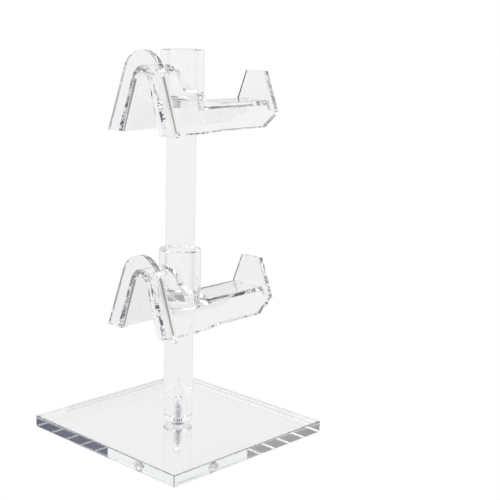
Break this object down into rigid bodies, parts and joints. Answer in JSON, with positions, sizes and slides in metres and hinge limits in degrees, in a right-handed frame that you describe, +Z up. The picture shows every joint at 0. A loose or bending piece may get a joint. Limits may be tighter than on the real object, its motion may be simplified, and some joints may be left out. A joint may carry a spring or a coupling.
{
  "type": "eyeglass display rack",
  "caption": "Clear acrylic countertop stand that holds pairs of eyeglasses one above the other on nose-shaped saddles that swivel on a round post.",
  "frame": {"origin": "centre of the base plate's underside, on the axis of the post", "axes": "+Z up along the post; the rack faces -Y, so the saddles and their flanges point to -Y and the arms run back to +Y"},
  "size_m": [0.085, 0.0874, 0.158],
  "materials": {
    "base_acrylic": "clear cast acrylic sheet, polished edges",
    "post_acrylic": "clear extruded acrylic rod, glossy",
    "moulded_acrylic": "clear injection-moulded acrylic, glossy",
    "screw_steel": "zinc-plated steel"
  },
  "bodies": {
    "stand": {"base_plate": "base_acrylic", "post": "post_acrylic", "base_screw": "screw_steel"},
    "lower_swivel": {"lower_holder": "moulded_acrylic"},
    "upper_swivel": {"upper_holder": "moulded_acrylic"}
  },
  "joints": [
    {"name": "lower_holder_swivel", "type": "hinge", "parent": "stand", "child": "lower_swivel", "pos_m": [0, 0, 0.046], "axis": [0, 0, 1], "continuous": true},
    {"name": "upper_holder_swivel", "type": "hinge", "parent": "stand", "child": "upper_swivel", "pos_m": [0, 0, 0.126], "axis": [0, 0, 1], "continuous": true}
  ]
}
